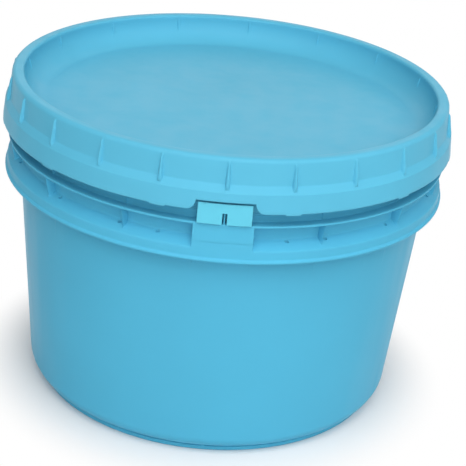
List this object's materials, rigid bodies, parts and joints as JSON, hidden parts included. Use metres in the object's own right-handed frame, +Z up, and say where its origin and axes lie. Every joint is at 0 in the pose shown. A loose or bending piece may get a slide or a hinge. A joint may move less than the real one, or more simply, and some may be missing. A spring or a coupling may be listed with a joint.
{
  "type": "wash bucket",
  "caption": "Wide low tapered plastic wash bucket with a press-on lid, a channel seal, a reinforcing collar and a fold-out tamper tab; stands on a round foot ring.",
  "frame": {"origin": "centre of the foot ring's underside, on the surface that the bucket stands on", "axes": "+Z up along the bucket's axis; -Y towards the tamper tab; +X to the right as seen from in front of the tab"},
  "size_m": [0.366, 0.3653, 0.2631],
  "materials": {
    "tub_plastic": "semi-gloss moulded polypropylene, light blue",
    "lid_plastic": "semi-gloss moulded polypropylene, light blue",
    "seal_rubber": "soft pale seal rubber",
    "tab_plastic": "semi-gloss moulded polypropylene, light blue"
  },
  "bodies": {
    "tub_body": {"tub": "tub_plastic", "collar": "tub_plastic"},
    "lid_body": {"lid": "lid_plastic", "lid_seal": "seal_rubber"},
    "tab_body": {"tamper_tab": "tab_plastic"}
  },
  "joints": [
    {"name": "lid_lift", "type": "slide", "parent": "tub_body", "child": "lid_body", "axis": [0, 0, 1], "range_m": [0, 0.12]},
    {"name": "tab_fold", "type": "hinge", "parent": "tub_body", "child": "tab_body", "pos_m": [0, -0.1804, 0.2125], "axis": [1, 0, 0], "range_deg": [0, 160]}
  ]
}
